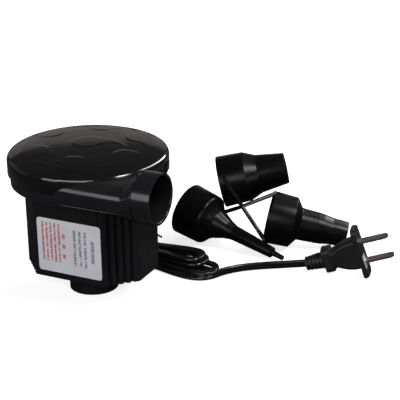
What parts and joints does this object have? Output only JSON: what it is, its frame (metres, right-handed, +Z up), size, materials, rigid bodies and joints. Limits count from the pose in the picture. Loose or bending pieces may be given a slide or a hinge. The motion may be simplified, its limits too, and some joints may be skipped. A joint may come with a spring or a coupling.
{
  "type": "electric air mattress pump",
  "caption": "Mains air mattress pump: round blower head with a side outlet on an octagonal motor body, with cord, plug and nozzles.",
  "frame": {"origin": "centre of the rim of the inlet port that the pump stands on", "axes": "+Z up along the motor shaft, +X along the outlet tube and out of its mouth, -Y out of the labelled front face"},
  "size_m": [0.2103, 0.1828, 0.092],
  "materials": {
    "gloss_black_plastic": "polished ABS, near black",
    "semi_gloss_black_plastic": "moulded ABS, semi-gloss black",
    "satin_black_plastic": "moulded ABS, satin black",
    "matt_black_plastic": "moulded PE, matt black",
    "silver_label": "silver-grey printed film, no text",
    "black_pvc": "satin black flexible PVC",
    "pale_grey_plastic": "pale grey moulded plastic",
    "blade_steel": "nickel plated brass, worn brownish",
    "white_nylon": "off-white glass filled nylon",
    "zinc_steel": "zinc plated steel",
    "soft_rubber": "soft black rubber",
    "lamination_steel": "stacked electrical steel",
    "copper_winding": "enamelled copper wire",
    "copper_bar": "bare copper and brass",
    "carbon": "pressed carbon",
    "lead_insulation": "red wire insulation"
  },
  "bodies": {
    "pump": {"blower_housing": "semi_gloss_black_plastic", "brush_caps": "copper_bar", "brush_holders": "copper_bar", "brush_springs": "zinc_steel", "carbon_brushes": "carbon", "cord_clamp": "white_nylon", "cord_gland": "black_pvc", "cord_hank": "black_pvc", "cord_lead": "black_pvc", "cord_tail": "black_pvc", "field_coils": "copper_winding", "housing_screws": "zinc_steel", "inlet_grille": "satin_black_plastic", "internal_leads": "lead_insulation", "label_plate": "silver_label", "lid": "gloss_black_plastic", "lid_screws": "zinc_steel", "lower_bearing": "zinc_steel", "lower_motor_bracket": "white_nylon", "motor_housing": "satin_black_plastic", "motor_mount_screws": "zinc_steel", "motor_screws": "zinc_steel", "plug_blades": "blade_steel", "plug_body": "black_pvc", "plug_face": "pale_grey_plastic", "rubber_mounts": "soft_rubber", "stator_core": "lamination_steel", "switch_body": "satin_black_plastic", "switch_terminals": "copper_bar", "thermal_cutout": "pale_grey_plastic", "twist_tie": "black_pvc", "upper_bearing": "zinc_steel", "upper_motor_bracket": "white_nylon"},
    "rotor": {"motor_shaft": "zinc_steel", "armature_core": "lamination_steel", "armature_windings": "copper_winding", "commutator": "copper_bar", "impeller": "white_nylon", "impeller_nut": "zinc_steel"},
    "power_rocker": {"rocker": "gloss_black_plastic"},
    "nozzle_set": {"nozzle_wide": "matt_black_plastic", "nozzle_medium": "matt_black_plastic", "nozzle_fine": "matt_black_plastic", "nozzle_tether": "matt_black_plastic"}
  },
  "joints": [
    {"name": "rotor_spin", "type": "hinge", "parent": "pump", "child": "rotor", "pos_m": [0, 0, 0.05], "axis": [0, 0, 1], "continuous": true},
    {"name": "power_switch", "type": "hinge", "parent": "pump", "child": "power_rocker", "pos_m": [-0.0349, 0, 0.028], "axis": [0, -1, 0], "range_deg": [0, 16]},
    {"name": "nozzle_lift", "type": "slide", "parent": "pump", "child": "nozzle_set", "axis": [0, 0, 1], "range_m": [0, 0.12]}
  ]
}
